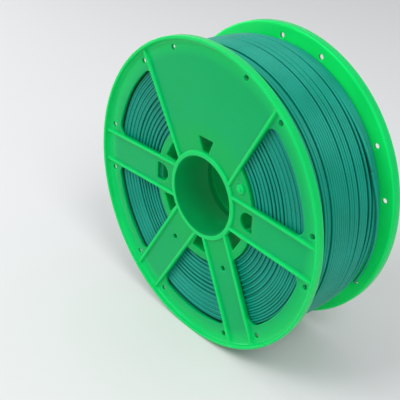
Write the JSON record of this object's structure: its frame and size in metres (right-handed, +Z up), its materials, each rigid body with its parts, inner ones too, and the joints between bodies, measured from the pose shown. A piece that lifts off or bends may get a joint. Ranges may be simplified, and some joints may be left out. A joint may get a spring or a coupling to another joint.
{
  "type": "filament spool",
  "caption": "Wound filament spool for a 3D printer: translucent green flanges with spoke channels and windows, a winding drum, and teal filament.",
  "frame": {"origin": "middle of the spool on its axis", "axes": "+Y along the spool's axis from the front flange to the rear flange, +Z up through the middle of the front flange's closed panel, +X to the right seen from the front"},
  "size_m": [0.2, 0.0724, 0.2],
  "materials": {
    "spool_plastic": "translucent emerald green moulded plastic, glossy",
    "drum_plastic": "translucent green moulded plastic",
    "filament": "teal extruded filament, satin to glossy"
  },
  "bodies": {
    "root": {"front_flange": "spool_plastic", "rear_flange": "spool_plastic", "winding_drum": "drum_plastic", "filament_winding": "filament", "filament_tail": "filament"}
  },
  "joints": []
}
